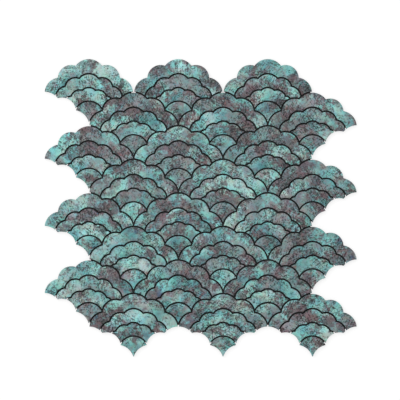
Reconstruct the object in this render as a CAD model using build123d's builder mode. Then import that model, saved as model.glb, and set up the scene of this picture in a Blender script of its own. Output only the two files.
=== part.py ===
"""Self-adhesive mosaic sheet of cloud-edged fans, lying face up.

Eight staggered rows of fans cover the sheet. Each fan is cut from board as four chips that nest under
one another: an outer, a middle and an inner arch, and a small fan at the tip. All chips are bonded to
one black adhesive mat, whose back carries a peel-off release paper. Sizes are in millimetres.

The frame's origin is the middle of the sheet's underside, +X runs along the rows, +Y points the way
the crowns of the fans do, and +Z comes up out of the face.
"""

import os
from collections import namedtuple

from build123d import *

os.makedirs("parts", exist_ok=True)

# Layout of the sheet
fan_pitch = 90.0
row_pitch = 33.75
fans_per_row = 3
row_count = 8
joint_width = 1.0

# Build-up of the sheet, from the wall outwards
paper_thickness = 0.15
mat_thickness = 1.0
chip_thickness = 3.0

# How far the mat stays back from the outer edge of the chips, and the rounding of a fan's sharp tip
mat_inset = 1.5
tip_radius = 0.4

# A cloud line runs along the middle of a joint as a row of round lobes, mirrored about the fan's axis.
# Each lobe has a centre that lies out from the axis, a top that lies below the crown of the fan by its
# drop, and a radius. The last lobe of the crown line reaches the fan beside it.
Lobe = namedtuple("Lobe", "out drop radius")
end_lobe_radius = 16.4
crown_line = [
    Lobe(out=0.0, drop=0.0, radius=17.2),
    Lobe(out=17.8, drop=5.9, radius=13.85),
    Lobe(out=fan_pitch / 2 - end_lobe_radius, drop=18.4, radius=end_lobe_radius),
]
middle_line = [
    Lobe(out=0.0, drop=15.2, radius=12.35),
    Lobe(out=13.35, drop=19.2, radius=10.75),
    Lobe(out=21.8, drop=27.65, radius=11.8),
]
inner_line = [
    Lobe(out=0.0, drop=29.1, radius=9.15),
    Lobe(out=9.05, drop=31.55, radius=9.3),
    Lobe(out=17.65, drop=37.75, radius=6.4),
]
tip_line = [Lobe(out=0.0, drop=42.9, radius=14.9)]

# A fan ends at the crowns of the two fans in the row below and of the one that its tip points at
fans_below = [(-fan_pitch / 2, -row_pitch), (fan_pitch / 2, -row_pitch), (0, -2 * row_pitch)]
fan_depth = 2 * row_pitch + 2 * (joint_width + mat_inset)


def area_under(line, grow):
    """The area below a cloud line, with the line moved outwards by grow, down past the fan's tip."""
    side = line[-1].out + line[-1].radius + grow
    right = [(lobe.out, -lobe.drop - lobe.radius) for lobe in line]
    right += [(side, right[-1][1]), (side, -fan_depth)]
    left = [(-x, y) for x, y in reversed(right[1:])]
    with BuildSketch() as area:
        with BuildLine():
            Polyline(*right, *left, close=True)
        make_face()
        for lobe in line:
            centre_height = -lobe.drop - lobe.radius
            with Locations((lobe.out, centre_height), (-lobe.out, centre_height)):
                Circle(lobe.radius + grow)
    return area.sketch


def chip_face(line, next_line):
    """One chip, from its own cloud line down to the next one, cut back for the fans below."""
    own_area = area_under(line, -joint_width / 2)
    next_area = area_under(next_line, joint_width / 2) if next_line else None
    area_below = area_under(crown_line, joint_width / 2)
    with BuildSketch() as face:
        add(own_area)
        with Locations(*fans_below):
            add(area_below, mode=Mode.SUBTRACT)
        if next_area:
            add(next_area, mode=Mode.SUBTRACT)
        else:
            fillet(face.vertices().group_by(Axis.Y)[0], radius=tip_radius)
    return face.sketch


chip_faces = {
    "outer_arches": chip_face(crown_line, middle_line),
    "middle_arches": chip_face(middle_line, inner_line),
    "inner_arches": chip_face(inner_line, tip_line),
    "tip_fans": chip_face(tip_line, None),
}

# The outline of the chips is centred on the origin. Row 1 is at the top, and the even rows sit half a
# fan to the right of the odd ones.
tip_depth = -chip_faces["tip_fans"].bounding_box().min.Y
top_crown = ((row_count - 1) * row_pitch + tip_depth + joint_width / 2) / 2
left_crown = -(fans_per_row - 0.5) * fan_pitch / 2


def fan_places(row, first, last):
    """Crown points of the fans numbered first to last in a row, where the sheet's own begin at 0."""
    stagger = fan_pitch / 2 if row % 2 == 0 else 0.0
    height = top_crown - (row - 1) * row_pitch
    return [(left_crown + stagger + i * fan_pitch, height) for i in range(first, last + 1)]


# The mat is laid out row by row, so that each row covers the lower part of the one above. A fan that
# belongs to a neighbouring sheet takes the mat away instead, which leaves the interlocking edge.
mat_setback = joint_width / 2 + mat_inset
area_kept = area_under(crown_line, -mat_setback)
area_cleared = area_under(crown_line, mat_setback)
with BuildSketch() as mat_outline:
    with Locations(*fan_places(1, 0, fans_per_row - 1)):
        add(area_kept)
    for row in range(2, row_count + 1):
        beside = -1 if row % 2 == 0 else fans_per_row
        with Locations(*fan_places(row, beside, beside)):
            add(area_cleared, mode=Mode.SUBTRACT)
        with Locations(*fan_places(row, 0, fans_per_row - 1)):
            add(area_kept)
    with Locations(*fan_places(row_count + 1, -1, fans_per_row)):
        add(area_cleared, mode=Mode.SUBTRACT)

# Release paper, die cut together with the mat
with BuildPart() as release_paper:
    with BuildSketch():
        add(mat_outline.sketch)
    extrude(amount=paper_thickness)
release_paper.part.label = "release_paper"
export_step(release_paper.part, "parts/release_paper.step")

# Adhesive mat
with BuildPart() as adhesive_mat:
    with BuildSketch(Plane.XY.offset(paper_thickness)):
        add(mat_outline.sketch)
    extrude(amount=mat_thickness)
adhesive_mat.part.label = "adhesive_mat"
export_step(adhesive_mat.part, "parts/adhesive_mat.step")

# Chips, with one file for each kind in each row, which holds one solid for each fan
chip_back = paper_thickness + mat_thickness
for row in range(1, row_count + 1):
    for kind, face in chip_faces.items():
        with BuildPart() as chips:
            with BuildSketch(Plane.XY.offset(chip_back)):
                with Locations(*fan_places(row, 0, fans_per_row - 1)):
                    add(face)
            extrude(amount=chip_thickness)
        node = f"row_{row}_{kind}"
        chips.part.label = node
        export_step(chips.part, f"parts/{node}.step")
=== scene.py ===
"""Blender scene of the self-adhesive mosaic sheet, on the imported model's frame.

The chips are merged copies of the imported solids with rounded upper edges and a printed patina. Each chip
is printed from its own patch of one large pattern, so the pattern breaks from chip to chip. The black
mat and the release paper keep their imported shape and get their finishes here. All sizes are in metres.
"""

import enum
import math
import random

import bmesh
import bpy
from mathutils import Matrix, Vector
from mathutils.kdtree import KDTree


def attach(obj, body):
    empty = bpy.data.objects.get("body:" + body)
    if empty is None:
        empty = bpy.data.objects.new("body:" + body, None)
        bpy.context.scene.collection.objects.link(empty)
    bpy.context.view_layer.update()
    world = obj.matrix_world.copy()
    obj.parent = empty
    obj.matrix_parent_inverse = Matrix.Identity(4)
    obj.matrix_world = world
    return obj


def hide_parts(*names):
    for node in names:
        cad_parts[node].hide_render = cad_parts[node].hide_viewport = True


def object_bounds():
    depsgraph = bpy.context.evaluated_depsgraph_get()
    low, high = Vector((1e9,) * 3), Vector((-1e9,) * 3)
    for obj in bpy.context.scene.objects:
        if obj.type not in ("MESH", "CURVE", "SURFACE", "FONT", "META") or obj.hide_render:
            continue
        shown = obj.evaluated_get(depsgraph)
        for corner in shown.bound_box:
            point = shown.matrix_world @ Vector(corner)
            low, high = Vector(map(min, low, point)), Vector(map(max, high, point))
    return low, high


bl_info = {
    "name": "Self-adhesive mosaic sheet",
    "version": (1, 0, 0),
    "blender": (4, 5, 0),
    "location": "View3D > Sidebar > Mosaic",
    "description": "Finishes the chips, mat and release paper of a mosaic sheet of cloud-edged fans",
    "category": "Object",
}

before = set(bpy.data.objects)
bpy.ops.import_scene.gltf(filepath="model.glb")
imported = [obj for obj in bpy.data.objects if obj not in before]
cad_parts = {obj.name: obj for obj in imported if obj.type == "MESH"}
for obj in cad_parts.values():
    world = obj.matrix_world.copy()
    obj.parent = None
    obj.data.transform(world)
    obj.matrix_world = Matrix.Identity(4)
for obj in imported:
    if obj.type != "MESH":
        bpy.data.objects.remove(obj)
CAD_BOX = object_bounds()
SHEET_TOP = CAD_BOX[1].z
ROWS = range(1, 9)

# The UV map of the chips, which holds the patch of the pattern that each is printed from
PRINT_MAP = "print_patch"

# How near two packed corners are one, how flat two faces are one, and how sharp an edge stays a crease
MERGE_DISTANCE = 1e-6
FLAT_ANGLE = math.radians(1.0)
CREASE_ANGLE = math.radians(31.0)

# How far up the normal of a printed face points, and how far down that of a chip's back does
LOOKS_UP = 0.99
LOOKS_DOWN = -0.5

# A face that reaches lower than this many edge radii below the top belongs to a chip's wall
EDGE_DEPTH = 1.01


# Settings


def srgb(red, green, blue):
    """The scene's linear colour for a colour as seen on a screen, from 0 to 255."""
    parts = []
    for value in (red, green, blue):
        c = value / 255
        parts.append(c / 12.92 if c <= 0.04045 else ((c + 0.055) / 1.055) ** 2.4)
    return tuple(parts)


def colour_property(name, description, default):
    """A colour that the user can set."""
    return bpy.props.FloatVectorProperty(
        name=name, description=description, subtype="COLOR", size=3, min=0.0, max=1.0, default=default
    )


def length_property(name, description, default):
    """A length that the user can set."""
    return bpy.props.FloatProperty(
        name=name,
        description=description,
        subtype="DISTANCE",
        unit="LENGTH",
        min=0.0,
        precision=5,
        default=default,
    )


def place_property(name, description, default):
    """A coordinate that the user can set, on either side of the origin."""
    return bpy.props.FloatProperty(
        name=name, description=description, subtype="DISTANCE", unit="LENGTH", precision=5, default=default
    )


def number_property(name, description, default):
    """A plain number that the user can set."""
    return bpy.props.FloatProperty(name=name, description=description, min=0.0, default=default)


class ChipSettings(bpy.types.PropertyGroup):
    """Edges of the chips, and the patches that they are printed from."""

    edge_round: length_property("Edge rounding", "Radius of a chip's upper edge", 0.00035)
    edge_segments: bpy.props.IntProperty(
        name="Edge segments", description="Facets across the rounded edge", min=1, max=6, default=3
    )
    joint_reach: length_property(
        "Joint reach", "How near another chip must be for an edge to face a joint", 0.0016
    )
    rim_spacing: length_property("Rim spacing", "Spacing of the points that joints are found with", 0.0006)
    print_seed: bpy.props.IntProperty(
        name="Print seed", description="Chooses the patch that each chip is printed from", default=11
    )
    print_span: length_property("Print span", "Side of the square that the patches are cut from", 2.0)
    core: colour_property("Board core", "Cut edge and back of the board", srgb(38, 39, 41))
    # Painted shade: near black for the rounded edges beside a joint, standing in for the shade that falls
    # into the joint
    tacky: colour_property("Joint edge", "Black adhesive on the edges beside a joint", srgb(8, 8, 9))


class PrintSettings(bpy.types.PropertyGroup):
    """Colours of the printed patina, and the sizes of what is in it."""

    deep_teal: colour_property("Deep teal", "Darkest clean verdigris", srgb(84, 130, 134))
    teal: colour_property("Teal", "Usual verdigris", srgb(121, 173, 171))
    mint: colour_property("Mint", "Palest verdigris", srgb(151, 189, 184))
    grey: colour_property("Grey film", "Dull film over the verdigris", srgb(115, 126, 129))
    stain: colour_property("Stain", "Brown and purple oxide stains", srgb(97, 88, 93))
    speck: colour_property("Specks", "Fine dark specks", srgb(40, 44, 47))
    pale: colour_property("Pale flecks", "Fine pale flecks", srgb(176, 205, 198))
    blue: colour_property("Blue tint", "Rare blue tint", srgb(60, 86, 112))
    rust: colour_property("Rust tint", "Rare rust tint", srgb(124, 74, 66))
    cool_cast: colour_property("Cool cast", "Colour cast of the colder print", (0.71, 0.98, 0.995))
    warm_cast: colour_property("Warm cast", "Colour cast of the warmer print", (1.0, 0.73, 0.75))
    blue_cast: colour_property("Blue cast", "Colour cast of the bluer print", (0.96, 0.92, 1.0))
    green_cast: colour_property("Green cast", "Colour cast of the greener print", (0.96, 1.0, 0.88))

    wear_size: length_property("Wear size", "Size of the cleaner and the more worn areas", 0.085)
    cloud_size: length_property("Cloud size", "Size of the clouds in the clean verdigris", 0.032)
    film_size: length_property("Film size", "Size of the dull films", 0.030)
    film_tooth: length_property("Film tooth", "Size of the teeth of a film's edge", 0.0040)
    stain_size: length_property("Stain size", "Size of the stains", 0.024)
    stain_tooth: length_property("Stain tooth", "Size of the teeth of a stain's edge", 0.0045)
    stroke_length: length_property("Stroke length", "Length of the dragged stains", 0.030)
    stroke_width: length_property("Stroke width", "Width of the dragged stains", 0.008)
    stroke_tooth: length_property("Stroke tooth", "Size of the teeth of a dragged stain's edge", 0.0035)
    blue_size: length_property("Blue size", "Size of the blue tints", 0.024)
    rust_size: length_property("Rust size", "Size of the rust tints", 0.016)
    tint_tooth: length_property("Tint tooth", "Size of the teeth of a tint's edge", 0.004)

    streak_length: length_property("Streak length", "Length of the fine streaks", 0.010)
    streak_width: length_property("Streak width", "Width of the fine streaks", 0.0014)
    hatch_length: length_property("Hatch length", "Length of the hatching across the streaks", 0.006)
    hatch_width: length_property("Hatch width", "Width of the hatching across the streaks", 0.0011)
    grain_size: length_property("Grain size", "Size of the grain", 0.0013)
    busy_size: length_property("Busy size", "Size of the calm and the busy areas", 0.020)
    drift_size: length_property("Drift size", "Size of the lighter and the darker areas", 0.046)
    contrast: number_property("Contrast", "How far streaks and grain swing the brightness", 2.9)
    brightness: number_property("Brightness", "Brightness that the streaks and grain swing about", 1.35)
    darkest: number_property("Darkest", "Lowest brightness in a streak", 0.27)
    brightest: number_property("Brightest", "Highest brightness in a streak", 1.32)

    speck_size: length_property("Speck size", "Size of the dark specks", 0.0020)
    speck_patch: length_property("Speck patch", "Size of the areas that have dark specks", 0.014)
    fleck_size: length_property("Fleck size", "Size of the pale flecks", 0.0022)
    fleck_patch: length_property("Fleck patch", "Size of the areas that have pale flecks", 0.017)
    warmth_size: length_property("Warmth size", "Size of the colder and the warmer areas", 0.012)
    warmth_tooth: length_property("Warmth tooth", "Size of the teeth of their edges", 0.0028)
    green_size: length_property("Green size", "Size of the bluer and the greener areas", 0.009)
    green_tooth: length_property("Green tooth", "Size of the teeth of their edges", 0.0024)


class BackSettings(bpy.types.PropertyGroup):
    """Colours of the mat and the release paper."""

    foam: colour_property("Mat", "Black adhesive foam", srgb(20, 20, 21))
    paper: colour_property("Paper", "Release paper", srgb(228, 224, 212))
    fibre: colour_property("Paper fibre", "Darker fibres in the paper", srgb(208, 202, 186))


class StageSettings(bpy.types.PropertyGroup):
    """Floor, light and camera."""

    floor_size: length_property("Floor size", "Side of the square floor", 12.0)
    floor_shade: number_property("Floor shade", "Share of the light that the floor gives back", 0.3)
    floor_glow: number_property("Floor glow", "Even white that the floor adds to that", 0.74)
    lamp_size: length_property("Lamp size", "Side of the soft lamp", 1.6)
    lamp_height: length_property("Lamp height", "Height of the soft lamp", 1.5)
    lamp_offset: length_property("Lamp offset", "How far the lamp is to the left and to the back", 0.7)
    lamp_power: bpy.props.FloatProperty(
        name="Lamp power", description="Watts of the soft lamp", unit="POWER", min=0.0, default=14.0
    )
    sky: number_property("Sky", "Strength of the even light from all round", 0.72)
    focal_length: bpy.props.FloatProperty(
        name="Lens", description="Focal length in millimetres", unit="CAMERA", min=1.0, default=300.0
    )
    frame_width: length_property("Frame width", "Width of the picture at the face of the sheet", 0.40228)
    camera_x: place_property("Camera X", "Place of the camera along the rows", -0.00069)
    camera_y: place_property("Camera Y", "Place of the camera across the rows", 0.00785)


# Materials


class Layer(enum.IntEnum):
    """Each noise of the print lies on its own layer, so that no two have the same clouds."""

    CLOUDS = 1
    FILM = 2
    STAIN = 3
    BLUE = 4
    RUST = 5
    STREAKS = 6
    HATCH = 7
    GRAIN = 8
    SPECKS = 9
    SPECK_PATCHES = 10
    FLECKS = 11
    FLECK_PATCHES = 12
    WEAR = 13
    STROKES = 14
    WARMTH = 15
    GREENNESS = 16
    BUSY = 17
    DRIFT = 18


# Distance between the layers, and the number of layers from a cloud to the teeth of its edge
LAYER_STEP = 3.7
TEETH_ABOVE = 20

# Directions that the dragged stains, the hatching and the paper's fibres run in
STROKE_TURN = math.radians(40)
HATCH_TURN = math.radians(68)
FIBRE_TURN = math.radians(8)


class Finish:
    """A material's node tree, with short calls for the nodes used here."""

    def __init__(self, name):
        self.material = bpy.data.materials.new(name)
        self.material.use_nodes = True
        self.tree = self.material.node_tree
        self.tree.nodes.clear()

    def node(self, kind, **values):
        made = self.tree.nodes.new(kind)
        for key, value in values.items():
            setattr(made, key, value)
        return made

    def link(self, source, target):
        self.tree.links.new(source, target)

    def feed(self, socket, value):
        """Links an output, or sets a plain value."""
        if isinstance(value, bpy.types.NodeSocket):
            self.link(value, socket)
        elif hasattr(value, "__len__") and socket.type == "RGBA" and len(value) == 3:
            socket.default_value = (*value, 1.0)
        else:
            socket.default_value = value

    def coordinates(self):
        """The piece's own coordinates."""
        return self.node("ShaderNodeTexCoord").outputs["Object"]

    def scaled(self, vector, size, turn=0.0, shift=(0.0, 0.0, 0.0)):
        """Coordinates in which one unit is the given size, along each axis."""
        if turn:
            turned = self.node("ShaderNodeVectorRotate", rotation_type="Z_AXIS")
            self.link(vector, turned.inputs["Vector"])
            turned.inputs["Angle"].default_value = turn
            vector = turned.outputs["Vector"]
        mapping = self.node("ShaderNodeMapping", vector_type="POINT")
        self.link(vector, mapping.inputs["Vector"])
        sizes = size if hasattr(size, "__len__") else (size, size, size)
        mapping.inputs["Scale"].default_value = [1 / s for s in sizes]
        mapping.inputs["Location"].default_value = shift
        return mapping.outputs["Vector"]

    def noise(self, vector, size, layer, detail=4.0, roughness=0.55, distortion=0.0, turn=0.0):
        """Cloudy noise whose features are about the given size."""
        made = self.node("ShaderNodeTexNoise", noise_dimensions="3D")
        shift = (0.0, 0.0, LAYER_STEP * layer)
        self.link(self.scaled(vector, size, turn, shift), made.inputs["Vector"])
        made.inputs["Scale"].default_value = 1.0
        made.inputs["Detail"].default_value = detail
        made.inputs["Roughness"].default_value = roughness
        made.inputs["Distortion"].default_value = distortion
        return made.outputs["Fac"]

    def ragged(self, vector, size, tooth, layer, amount, turn=0.0):
        """A cloud whose edge is broken up at a finer size, by the given amount."""
        cloud = self.noise(vector, size, layer, detail=9, roughness=0.68, distortion=0.3, turn=turn)
        teeth = self.noise(vector, tooth, layer + TEETH_ABOVE, detail=4, roughness=0.7)
        return self.add(cloud, self.multiply(self.subtract(teeth, 0.5), amount))

    def remap(self, kind, value, low, high, to_low, to_high):
        made = self.node("ShaderNodeMapRange", interpolation_type=kind)
        self.feed(made.inputs["Value"], value)
        made.inputs["From Min"].default_value = low
        made.inputs["From Max"].default_value = high
        made.inputs["To Min"].default_value = to_low
        made.inputs["To Max"].default_value = to_high
        return made.outputs["Result"]

    def ramp(self, value, low, high, to_low=0.0, to_high=1.0):
        """Takes the range from low to high to another one in a straight line, and clamps it there."""
        return self.remap("LINEAR", value, low, high, to_low, to_high)

    def ease(self, value, low, high, to_low=0.0, to_high=1.0):
        """The same with soft ends."""
        return self.remap("SMOOTHSTEP", value, low, high, to_low, to_high)

    def math(self, operation, first, second):
        made = self.node("ShaderNodeMath", operation=operation)
        self.feed(made.inputs[0], first)
        self.feed(made.inputs[1], second)
        return made.outputs["Value"]

    def add(self, first, second):
        return self.math("ADD", first, second)

    def subtract(self, first, second):
        return self.math("SUBTRACT", first, second)

    def multiply(self, first, second):
        return self.math("MULTIPLY", first, second)

    def grey_level(self, value):
        """A value as a grey, to multiply a colour by."""
        made = self.node("ShaderNodeCombineColor")
        for channel in made.inputs:
            self.link(value, channel)
        return made.outputs["Color"]

    def mix(self, amount, first, second, blend="MIX"):
        made = self.node("ShaderNodeMix", data_type="RGBA", blend_type=blend)
        self.feed(made.inputs["Factor"], amount)
        self.feed(made.inputs["A"], first)
        self.feed(made.inputs["B"], second)
        return next(o for o in made.outputs if o.type == "RGBA")

    def cast(self, colour, amount, first, second):
        """Multiplies a colour by one somewhere between two casts."""
        return self.mix(1.0, colour, self.mix(amount, first, second), "MULTIPLY")

    def bump(self, height, distance, strength):
        made = self.node("ShaderNodeBump")
        made.inputs["Strength"].default_value = strength
        made.inputs["Distance"].default_value = distance
        self.link(height, made.inputs["Height"])
        return made.outputs["Normal"]

    def surface(self, colour, roughness, normal, **plain):
        """Ends the tree in a Principled surface, and gives the material."""
        shader = self.node("ShaderNodeBsdfPrincipled")
        self.feed(shader.inputs["Base Color"], colour)
        self.feed(shader.inputs["Roughness"], roughness)
        if normal is not None:
            self.link(normal, shader.inputs["Normal"])
        for key, value in plain.items():
            shader.inputs[key.replace("_", " ")].default_value = value
        output = self.node("ShaderNodeOutputMaterial")
        self.link(shader.outputs["BSDF"], output.inputs["Surface"])
        return self.material


def lightened(colour, times, plus=0.0):
    """A colour made lighter."""
    return tuple(min(1.0, c * times + plus) for c in colour)


def verdigris(paint, uv, ink, wear):
    """The clean ground, in clouds from deep teal to mint, darker where it is worn."""
    clouds = paint.noise(uv, ink.cloud_size, Layer.CLOUDS, detail=6, roughness=0.52, distortion=0.5)
    clouds = paint.subtract(clouds, paint.multiply(wear, 0.06))
    light = paint.ramp(clouds, 0.36, 0.64)
    colour = paint.mix(paint.ramp(light, 0.0, 0.5), ink.deep_teal[:], ink.teal[:])
    return paint.mix(paint.ramp(light, 0.5, 1.0), colour, ink.mint[:])


def dragged_stains(paint, uv, ink):
    """Where stains were dragged along one direction."""
    size = (ink.stroke_length, ink.stroke_width, ink.stroke_length)
    strokes = paint.ragged(uv, size, ink.stroke_tooth, Layer.STROKES, amount=0.35, turn=STROKE_TURN)
    return paint.ease(strokes, 0.58, 0.67, 0.0, 0.8)


def rare_tints(paint, uv, ink, colour):
    """Adds the few blue and rust tints."""
    blue = paint.ragged(uv, ink.blue_size, ink.tint_tooth, Layer.BLUE, amount=0.2)
    colour = paint.mix(paint.ease(blue, 0.60, 0.70, 0.0, 0.8), colour, ink.blue[:])
    rust = paint.ragged(uv, ink.rust_size, ink.tint_tooth, Layer.RUST, amount=0.2)
    return paint.mix(paint.ease(rust, 0.62, 0.72, 0.0, 0.75), colour, ink.rust[:])


def busyness(paint, uv, ink, stain):
    """How strong the streaks and the grain are: little in calm areas, most in and near stains."""
    areas = paint.noise(uv, ink.busy_size, Layer.BUSY, detail=4, roughness=0.6)
    near_stain = paint.ease(stain, 0.40, 0.56, 0.72, 1.50)
    return paint.multiply(paint.ease(areas, 0.42, 0.58, 0.18, 1.50), near_stain)


def brushwork(paint, uv, ink, busy):
    """The brightness of the print, from streaks, hatching and grain on a slow drift."""
    along = (ink.streak_length, ink.streak_width, ink.streak_length)
    streaks = paint.noise(uv, along, Layer.STREAKS, detail=5, roughness=0.68)
    across = (ink.hatch_length, ink.hatch_width, ink.hatch_length)
    hatch = paint.noise(uv, across, Layer.HATCH, detail=3, roughness=0.6, turn=HATCH_TURN)
    drawn = paint.subtract(paint.add(streaks, hatch), 0.5)
    grain = paint.noise(uv, ink.grain_size, Layer.GRAIN, detail=2, roughness=0.7)
    tone = paint.multiply(paint.add(drawn, grain), 0.5)
    swing = paint.multiply(paint.ramp(tone, 0.34, 0.66, -ink.contrast, ink.contrast), busy)
    level = paint.math("MAXIMUM", paint.add(swing, ink.brightness), ink.darkest)
    level = paint.math("MINIMUM", level, ink.brightest)
    drift = paint.ramp(paint.noise(uv, ink.drift_size, Layer.DRIFT, detail=3), 0.34, 0.66, 0.86, 1.27)
    return paint.multiply(level, drift)


def dark_specks(paint, uv, ink, stain, grit):
    """Where the dark specks are: in patches, and most in and near stains."""
    patches = paint.noise(uv, ink.speck_patch, Layer.SPECK_PATCHES, detail=4, roughness=0.6)
    near_stain = paint.ease(stain, 0.42, 0.52, 0.30, 1.0)
    patches = paint.multiply(paint.ease(patches, 0.42, 0.58, 0.15, 1.0), near_stain)
    return paint.multiply(paint.ease(grit, 0.50, 0.58, 0.0, 0.85), patches)


def pale_flecks(paint, uv, ink):
    """Where the pale flecks are."""
    flecks = paint.noise(uv, ink.fleck_size, Layer.FLECKS, detail=6, roughness=0.72)
    patches = paint.noise(uv, ink.fleck_patch, Layer.FLECK_PATCHES, detail=4, roughness=0.6)
    return paint.multiply(paint.ease(flecks, 0.54, 0.66, 0.0, 0.55), paint.ease(patches, 0.45, 0.62))


def colour_casts(paint, uv, ink, busy, colour):
    """Turns the colour colder or warmer and bluer or greener from place to place."""
    unrest = paint.ramp(busy, 0.2, 1.4, 0.15, 1.0)
    warmth = paint.ragged(uv, ink.warmth_size, ink.warmth_tooth, Layer.WARMTH, amount=unrest)
    colour = paint.cast(colour, paint.ramp(warmth, 0.39, 0.61), ink.cool_cast[:], ink.warm_cast[:])
    greenness = paint.ragged(uv, ink.green_size, ink.green_tooth, Layer.GREENNESS, amount=unrest)
    return paint.cast(colour, paint.ramp(greenness, 0.37, 0.63), ink.blue_cast[:], ink.green_cast[:])


def patina_print(scene):
    """The printed face of the chips: verdigris with films, stains, specks and a few blue and rust tints."""
    ink = scene.mosaic_print
    paint = Finish("patina_print")
    uv = paint.node("ShaderNodeUVMap", uv_map=PRINT_MAP).outputs["UV"]
    wear = paint.ramp(paint.noise(uv, ink.wear_size, Layer.WEAR, detail=2), 0.36, 0.64, -0.8, 0.8)
    colour = verdigris(paint, uv, ink, wear)

    film = paint.ragged(uv, ink.film_size, ink.film_tooth, Layer.FILM, amount=0.30)
    film = paint.add(film, paint.multiply(wear, 0.05))
    colour = paint.mix(paint.ease(film, 0.475, 0.565, 0.0, 0.88), colour, ink.grey[:])

    stain = paint.ragged(uv, ink.stain_size, ink.stain_tooth, Layer.STAIN, amount=0.40)
    stain = paint.add(stain, paint.multiply(wear, 0.06))
    stained = paint.ease(stain, 0.515, 0.58, 0.0, 0.90)
    colour = paint.mix(stained, colour, ink.stain[:])
    colour = paint.mix(dragged_stains(paint, uv, ink), colour, ink.stain[:])
    colour = rare_tints(paint, uv, ink, colour)

    busy = busyness(paint, uv, ink, stain)
    shade = paint.grey_level(brushwork(paint, uv, ink, busy))
    colour = paint.mix(1.0, colour, shade, "MULTIPLY")

    grit = paint.noise(uv, ink.speck_size, Layer.SPECKS, detail=6, roughness=0.72)
    colour = paint.mix(dark_specks(paint, uv, ink, stain, grit), colour, ink.speck[:])
    colour = paint.mix(pale_flecks(paint, uv, ink), colour, ink.pale[:])
    colour = colour_casts(paint, uv, ink, busy, colour)

    height = paint.subtract(paint.multiply(grit, 0.5), paint.multiply(stained, 0.5))
    normal = paint.bump(height, distance=0.00012, strength=0.5)
    roughness = paint.ramp(stained, 0.0, 1.0, 0.36, 0.52)
    return paint.surface(colour, roughness, normal, Specular_IOR_Level=0.3)


def board_core(scene):
    """The cut walls and backs of the chips: dark board with fine filler grains."""
    core = scene.mosaic_chips.core[:]
    paint = Finish("board_core")
    place = paint.coordinates()
    grain = paint.noise(place, 0.0006, layer=1, detail=4, roughness=0.6)
    plies = paint.noise(place, (0.02, 0.02, 0.0004), layer=2, detail=2)
    colour = paint.mix(paint.ease(grain, 0.42, 0.66, 0.0, 0.7), core, lightened(core, 2.6, 0.01))
    height = paint.add(grain, paint.multiply(plies, 0.6))
    normal = paint.bump(height, distance=0.00008, strength=0.6)
    return paint.surface(colour, paint.ease(grain, 0.3, 0.7, 0.62, 0.8), normal)


def painted_joint_shade(scene):
    """Painted shade on the rounded edges beside a joint: near black, for the shade that falls into the
    joint between the chips.
    """
    tacky = scene.mosaic_chips.tacky[:]
    paint = Finish("painted_joint_shade")
    shade_mottle = paint.noise(paint.coordinates(), 0.0008, layer=1, detail=3)
    colour = paint.mix(paint.ease(shade_mottle, 0.4, 0.7, 0.0, 0.6), tacky, lightened(tacky, 2.0))
    roughness = paint.ease(shade_mottle, 0.3, 0.7, 0.7, 0.85)
    return paint.surface(colour, roughness, None, Specular_IOR_Level=0.12)


def adhesive_foam(scene):
    """The mat: black closed-cell foam with a sticky skin."""
    foam = scene.mosaic_back.foam[:]
    paint = Finish("adhesive_foam")
    place = paint.coordinates()
    cells = paint.node("ShaderNodeTexVoronoi", feature="SMOOTH_F1")
    paint.link(paint.scaled(place, 0.00045), cells.inputs["Vector"])
    cells.inputs["Scale"].default_value = 1.0
    dust = paint.noise(place, 0.004, layer=1, detail=6, roughness=0.65)
    colour = paint.mix(paint.ease(dust, 0.45, 0.7, 0.0, 0.6), foam, lightened(foam, 2.2))
    normal = paint.bump(cells.outputs["Distance"], distance=0.00015, strength=0.5)
    return paint.surface(colour, paint.ease(dust, 0.35, 0.65, 0.42, 0.62), normal)


def release_liner(scene):
    """The release paper: smooth coated paper with a faint fibre cloud."""
    back = scene.mosaic_back
    paint = Finish("release_liner")
    place = paint.coordinates()
    cloud = paint.noise(place, 0.006, layer=1, detail=5, roughness=0.6)
    fibres = paint.noise(place, (0.0022, 0.0004, 0.002), layer=2, detail=3, turn=FIBRE_TURN)
    amount = paint.multiply(paint.ease(fibres, 0.45, 0.7), paint.ease(cloud, 0.35, 0.65, 0.25, 0.9))
    colour = paint.mix(amount, back.paper[:], back.fibre[:])
    normal = paint.bump(fibres, distance=0.00005, strength=0.4)
    return paint.surface(colour, paint.ease(cloud, 0.35, 0.65, 0.30, 0.42), normal)


def shared(make):
    """A finish that several pieces use is made once, under its function's name."""
    return bpy.data.materials.get(make.__name__) or make(bpy.context.scene)


# Chips

# The finishes of a chip, and the place of each among its material slots
CHIP_FINISHES = (patina_print, board_core, painted_joint_shade)
PRINTED, BOARD, JOINT_SHADED = range(3)


def merged_chips(node):
    """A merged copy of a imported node, with the flat faces whole again."""
    bm = bmesh.new()
    bm.from_mesh(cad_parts[node].data)
    bmesh.ops.remove_doubles(bm, verts=bm.verts, dist=MERGE_DISTANCE)
    bmesh.ops.dissolve_limit(bm, angle_limit=FLAT_ANGLE, verts=bm.verts, edges=bm.edges)
    return bm


def chip_islands(bm):
    """The faces of each separate chip, from left to right."""
    left = set(bm.faces)
    islands = []
    while left:
        queue = [left.pop()]
        island = []
        while queue:
            face = queue.pop()
            island.append(face)
            for edge in face.edges:
                for other in edge.link_faces:
                    if other in left:
                        left.remove(other)
                        queue.append(other)
        islands.append(island)
    return sorted(islands, key=lambda faces: min(v.co.x for f in faces for v in f.verts))


def upper_rim(faces):
    """The edges round the printed faces."""
    return {edge for face in faces if face.normal.z > LOOKS_UP for edge in face.edges}


def round_upper_edges(bm, radius, segments):
    """Rounds the rim of every printed face, and gives the height where the rounding ends."""
    bmesh.ops.bevel(
        bm,
        geom=list(upper_rim(bm.faces)),
        offset=radius,
        offset_type="OFFSET",
        segments=segments,
        profile=0.5,
        affect="EDGES",
        clamp_overlap=True,
        material=-1,
    )
    return max(v.co.z for v in bm.verts) - radius * EDGE_DEPTH


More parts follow.
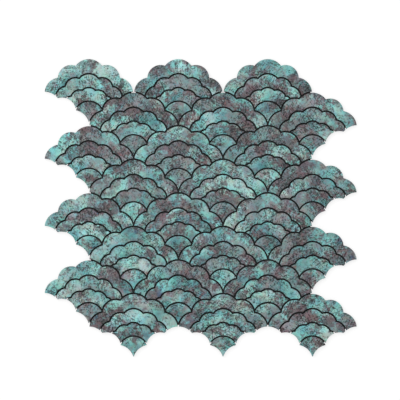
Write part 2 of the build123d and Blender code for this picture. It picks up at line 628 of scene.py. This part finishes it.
def rim_points(spacing):
    """Evenly spaced points along the upper rims of all chips, each with the chip that it belongs to."""
    points = []
    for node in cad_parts:
        if not node.startswith("row_"):
            continue
        bm = merged_chips(node)
        for number, island in enumerate(chip_islands(bm)):
            for edge in upper_rim(island):
                start, end = (v.co for v in edge.verts)
                steps = max(1, round(edge.calc_length() / spacing))
                points += [(start.lerp(end, step / steps), (node, number)) for step in range(steps)]
        bm.free()
    tree = KDTree(len(points))
    for number, (point, _) in enumerate(points):
        tree.insert(point, number)
    tree.balance()
    return points, tree


def faces_joint(face, chip, rims, reach):
    """Whether a face of a rounded edge looks across a joint at another chip."""
    points, tree = rims
    near = tree.find_range(face.calc_center_median(), reach)
    return any(points[number][1] != chip for _, number, _ in near)


def chip_finish(face, chip, rims, reach, rounding_end):
    """The finish of one face of a chip, as its place among the chip's material slots."""
    if face.normal.z > LOOKS_UP:
        return PRINTED
    if face.normal.z < LOOKS_DOWN or min(v.co.z for v in face.verts) < rounding_end:
        return BOARD
    # Rounded-edge faces that look across a joint get the painted joint shade, the outer ones keep the print
    return JOINT_SHADED if faces_joint(face, chip, rims, reach) else PRINTED


def lay_print(island, print_map, span, draw):
    """Lays a chip's faces on a patch of the pattern, at a drawn place and turn."""
    turn = draw.uniform(0.0, math.tau)
    corner = (draw.uniform(0.0, span), draw.uniform(0.0, span))
    middle = sum((f.calc_center_median() for f in island), Vector()) / len(island)
    for face in island:
        for loop in face.loops:
            x, y = loop.vert.co.x - middle.x, loop.vert.co.y - middle.y
            loop[print_map].uv = (
                corner[0] + x * math.cos(turn) - y * math.sin(turn),
                corner[1] + x * math.sin(turn) + y * math.cos(turn),
            )


def finish_chips(node, chips, rims):
    """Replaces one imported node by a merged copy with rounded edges, print patches and finishes."""
    bm = merged_chips(node)
    rounding_end = round_upper_edges(bm, chips.edge_round, chips.edge_segments)
    print_map = bm.loops.layers.uv.new(PRINT_MAP)
    for number, island in enumerate(chip_islands(bm)):
        draw = random.Random(f"{chips.print_seed} {node} {number}")
        lay_print(island, print_map, chips.print_span, draw)
        for face in island:
            face.smooth = True
            face.material_index = chip_finish(face, (node, number), rims, chips.joint_reach, rounding_end)
    for edge in bm.edges:
        if edge.is_manifold and edge.calc_face_angle() > CREASE_ANGLE:
            edge.smooth = False

    mesh = bpy.data.meshes.new(f"{node}_finished")
    bm.to_mesh(mesh)
    bm.free()
    for make in CHIP_FINISHES:
        mesh.materials.append(shared(make))
    piece = bpy.data.objects.new(f"{node}_finished", mesh)
    bpy.context.scene.collection.objects.link(piece)
    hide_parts(node)
    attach(piece, "root")


def finish_kind(kind, chips):
    """Finishes one kind of chip in every row."""
    rims = rim_points(chips.rim_spacing)
    for row in ROWS:
        finish_chips(f"row_{row}_{kind}", chips, rims)


class MOSAIC_OT_outer_arches(bpy.types.Operator):
    """Finish the outer arches of all fans"""

    bl_idname = "mosaic.outer_arches"
    bl_label = "Outer arches"

    def execute(self, context):
        finish_kind("outer_arches", context.scene.mosaic_chips)
        return {"FINISHED"}


class MOSAIC_OT_middle_arches(bpy.types.Operator):
    """Finish the middle arches of all fans"""

    bl_idname = "mosaic.middle_arches"
    bl_label = "Middle arches"

    def execute(self, context):
        finish_kind("middle_arches", context.scene.mosaic_chips)
        return {"FINISHED"}


class MOSAIC_OT_inner_arches(bpy.types.Operator):
    """Finish the inner arches of all fans"""

    bl_idname = "mosaic.inner_arches"
    bl_label = "Inner arches"

    def execute(self, context):
        finish_kind("inner_arches", context.scene.mosaic_chips)
        return {"FINISHED"}


class MOSAIC_OT_tip_fans(bpy.types.Operator):
    """Finish the small fans at the tips"""

    bl_idname = "mosaic.tip_fans"
    bl_label = "Tip fans"

    def execute(self, context):
        finish_kind("tip_fans", context.scene.mosaic_chips)
        return {"FINISHED"}


# Mat and release paper


def cover(node, material):
    """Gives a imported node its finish."""
    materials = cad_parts[node].data.materials
    materials.clear()
    materials.append(material)


class MOSAIC_OT_adhesive_mat(bpy.types.Operator):
    """Finish the black adhesive mat"""

    bl_idname = "mosaic.adhesive_mat"
    bl_label = "Adhesive mat"

    def execute(self, context):
        cover("adhesive_mat", shared(adhesive_foam))
        return {"FINISHED"}


class MOSAIC_OT_release_paper(bpy.types.Operator):
    """Finish the release paper on the back"""

    bl_idname = "mosaic.release_paper"
    bl_label = "Release paper"

    def execute(self, context):
        cover("release_paper", shared(release_liner))
        return {"FINISHED"}


# Stage


def white_floor(stage):
    """A white that only the camera and reflections see from above, so that light passes from below."""
    paint = Finish("white_floor")
    path = paint.node("ShaderNodeLightPath")
    seen = paint.math("MAXIMUM", path.outputs["Is Camera Ray"], path.outputs["Is Glossy Ray"])
    seen = paint.math("MAXIMUM", seen, path.outputs["Is Transmission Ray"])
    above = paint.subtract(1.0, paint.node("ShaderNodeNewGeometry").outputs["Backfacing"])
    shade = paint.node("ShaderNodeBsdfDiffuse")
    shade.inputs["Color"].default_value = (stage.floor_shade, stage.floor_shade, stage.floor_shade, 1.0)
    glow = paint.node("ShaderNodeEmission")
    glow.inputs["Color"].default_value = (1.0, 1.0, 1.0, 1.0)
    glow.inputs["Strength"].default_value = stage.floor_glow
    lit = paint.node("ShaderNodeAddShader")
    paint.link(shade.outputs[0], lit.inputs[0])
    paint.link(glow.outputs[0], lit.inputs[1])
    chosen = paint.node("ShaderNodeMixShader")
    paint.link(paint.multiply(seen, above), chosen.inputs["Fac"])
    paint.link(paint.node("ShaderNodeBsdfTransparent").outputs[0], chosen.inputs[1])
    paint.link(lit.outputs[0], chosen.inputs[2])
    output = paint.node("ShaderNodeOutputMaterial")
    paint.link(chosen.outputs[0], output.inputs["Surface"])
    return paint.material


def stage_floor(stage):
    """The floor under the sheet, which shows its faint shadow."""
    bm = bmesh.new()
    bmesh.ops.create_grid(bm, x_segments=1, y_segments=1, size=stage.floor_size / 2)
    mesh = bpy.data.meshes.new("floor")
    bm.to_mesh(mesh)
    bm.free()
    mesh.materials.append(white_floor(stage))
    floor = bpy.data.objects.new("floor", mesh)
    bpy.context.scene.collection.objects.link(floor)


def stage_sky(stage):
    """Even light from all round, and plain white where the camera sees past the floor."""
    world = bpy.data.worlds.new("studio")
    world.use_nodes = True
    tree = world.node_tree
    tree.nodes.clear()
    path = tree.nodes.new("ShaderNodeLightPath")
    light = tree.nodes.new("ShaderNodeBackground")
    light.inputs["Strength"].default_value = stage.sky
    white = tree.nodes.new("ShaderNodeBackground")
    white.inputs["Strength"].default_value = 1.0
    for background in (light, white):
        background.inputs["Color"].default_value = (1.0, 1.0, 1.0, 1.0)
    chosen = tree.nodes.new("ShaderNodeMixShader")
    output = tree.nodes.new("ShaderNodeOutputWorld")
    tree.links.new(path.outputs["Is Camera Ray"], chosen.inputs["Fac"])
    tree.links.new(light.outputs[0], chosen.inputs[1])
    tree.links.new(white.outputs[0], chosen.inputs[2])
    tree.links.new(chosen.outputs[0], output.inputs["Surface"])
    bpy.context.scene.world = world


def stage_lamp(stage):
    """One wide soft lamp above the upper left."""
    data = bpy.data.lights.new("soft_lamp", "AREA")
    data.shape = "SQUARE"
    data.size = stage.lamp_size
    data.energy = stage.lamp_power
    lamp = bpy.data.objects.new("soft_lamp", data)
    lamp.location = (-stage.lamp_offset, stage.lamp_offset, stage.lamp_height)
    lamp.rotation_euler = (-lamp.location).to_track_quat("-Z", "Y").to_euler()
    bpy.context.scene.collection.objects.link(lamp)


def stage_camera(stage):
    """The camera looks straight down on the sheet through a long lens."""
    data = bpy.data.cameras.new("camera")
    data.lens = stage.focal_length
    data.clip_start = 0.05
    data.clip_end = 50.0
    camera = bpy.data.objects.new("camera", data)
    distance = stage.frame_width * data.lens / data.sensor_width
    camera.location = (stage.camera_x, stage.camera_y, SHEET_TOP + distance)
    bpy.context.scene.collection.objects.link(camera)
    bpy.context.scene.camera = camera


class MOSAIC_OT_stage(bpy.types.Operator):
    """Set up the floor, the light and the camera"""

    bl_idname = "mosaic.stage"
    bl_label = "Stage"

    def execute(self, context):
        stage = context.scene.mosaic_stage
        stage_floor(stage)
        stage_sky(stage)
        stage_lamp(stage)
        stage_camera(stage)
        context.scene.view_settings.view_transform = "Standard"
        return {"FINISHED"}


# Add-on

SETTINGS = (
    ("mosaic_chips", ChipSettings),
    ("mosaic_print", PrintSettings),
    ("mosaic_back", BackSettings),
    ("mosaic_stage", StageSettings),
)
OPERATORS = (
    MOSAIC_OT_outer_arches,
    MOSAIC_OT_middle_arches,
    MOSAIC_OT_inner_arches,
    MOSAIC_OT_tip_fans,
    MOSAIC_OT_adhesive_mat,
    MOSAIC_OT_release_paper,
    MOSAIC_OT_stage,
)


class MOSAIC_PT_panel(bpy.types.Panel):
    """Lists the settings and the pieces"""

    bl_label = "Mosaic sheet"
    bl_idname = "MOSAIC_PT_panel"
    bl_space_type = "VIEW_3D"
    bl_region_type = "UI"
    bl_category = "Mosaic"

    def draw(self, context):
        for name, _ in SETTINGS:
            group = getattr(context.scene, name)
            box = self.layout.box()
            for setting in group.bl_rna.properties.keys():
                if setting not in ("rna_type", "name"):
                    box.prop(group, setting)
        for operator in OPERATORS:
            self.layout.operator(operator.bl_idname)


def register():
    for name, group in SETTINGS:
        bpy.utils.register_class(group)
        setattr(bpy.types.Scene, name, bpy.props.PointerProperty(type=group))
    for operator in OPERATORS:
        bpy.utils.register_class(operator)
    bpy.utils.register_class(MOSAIC_PT_panel)


def unregister():
    bpy.utils.unregister_class(MOSAIC_PT_panel)
    for operator in reversed(OPERATORS):
        bpy.utils.unregister_class(operator)
    for name, group in reversed(SETTINGS):
        delattr(bpy.types.Scene, name)
        bpy.utils.unregister_class(group)


def main():
    """Registers the add-on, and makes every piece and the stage."""
    register()
    bpy.ops.mosaic.outer_arches()
    bpy.ops.mosaic.middle_arches()
    bpy.ops.mosaic.inner_arches()
    bpy.ops.mosaic.tip_fans()
    bpy.ops.mosaic.adhesive_mat()
    bpy.ops.mosaic.release_paper()
    bpy.ops.mosaic.stage()


if __name__ == "__main__":
    main()
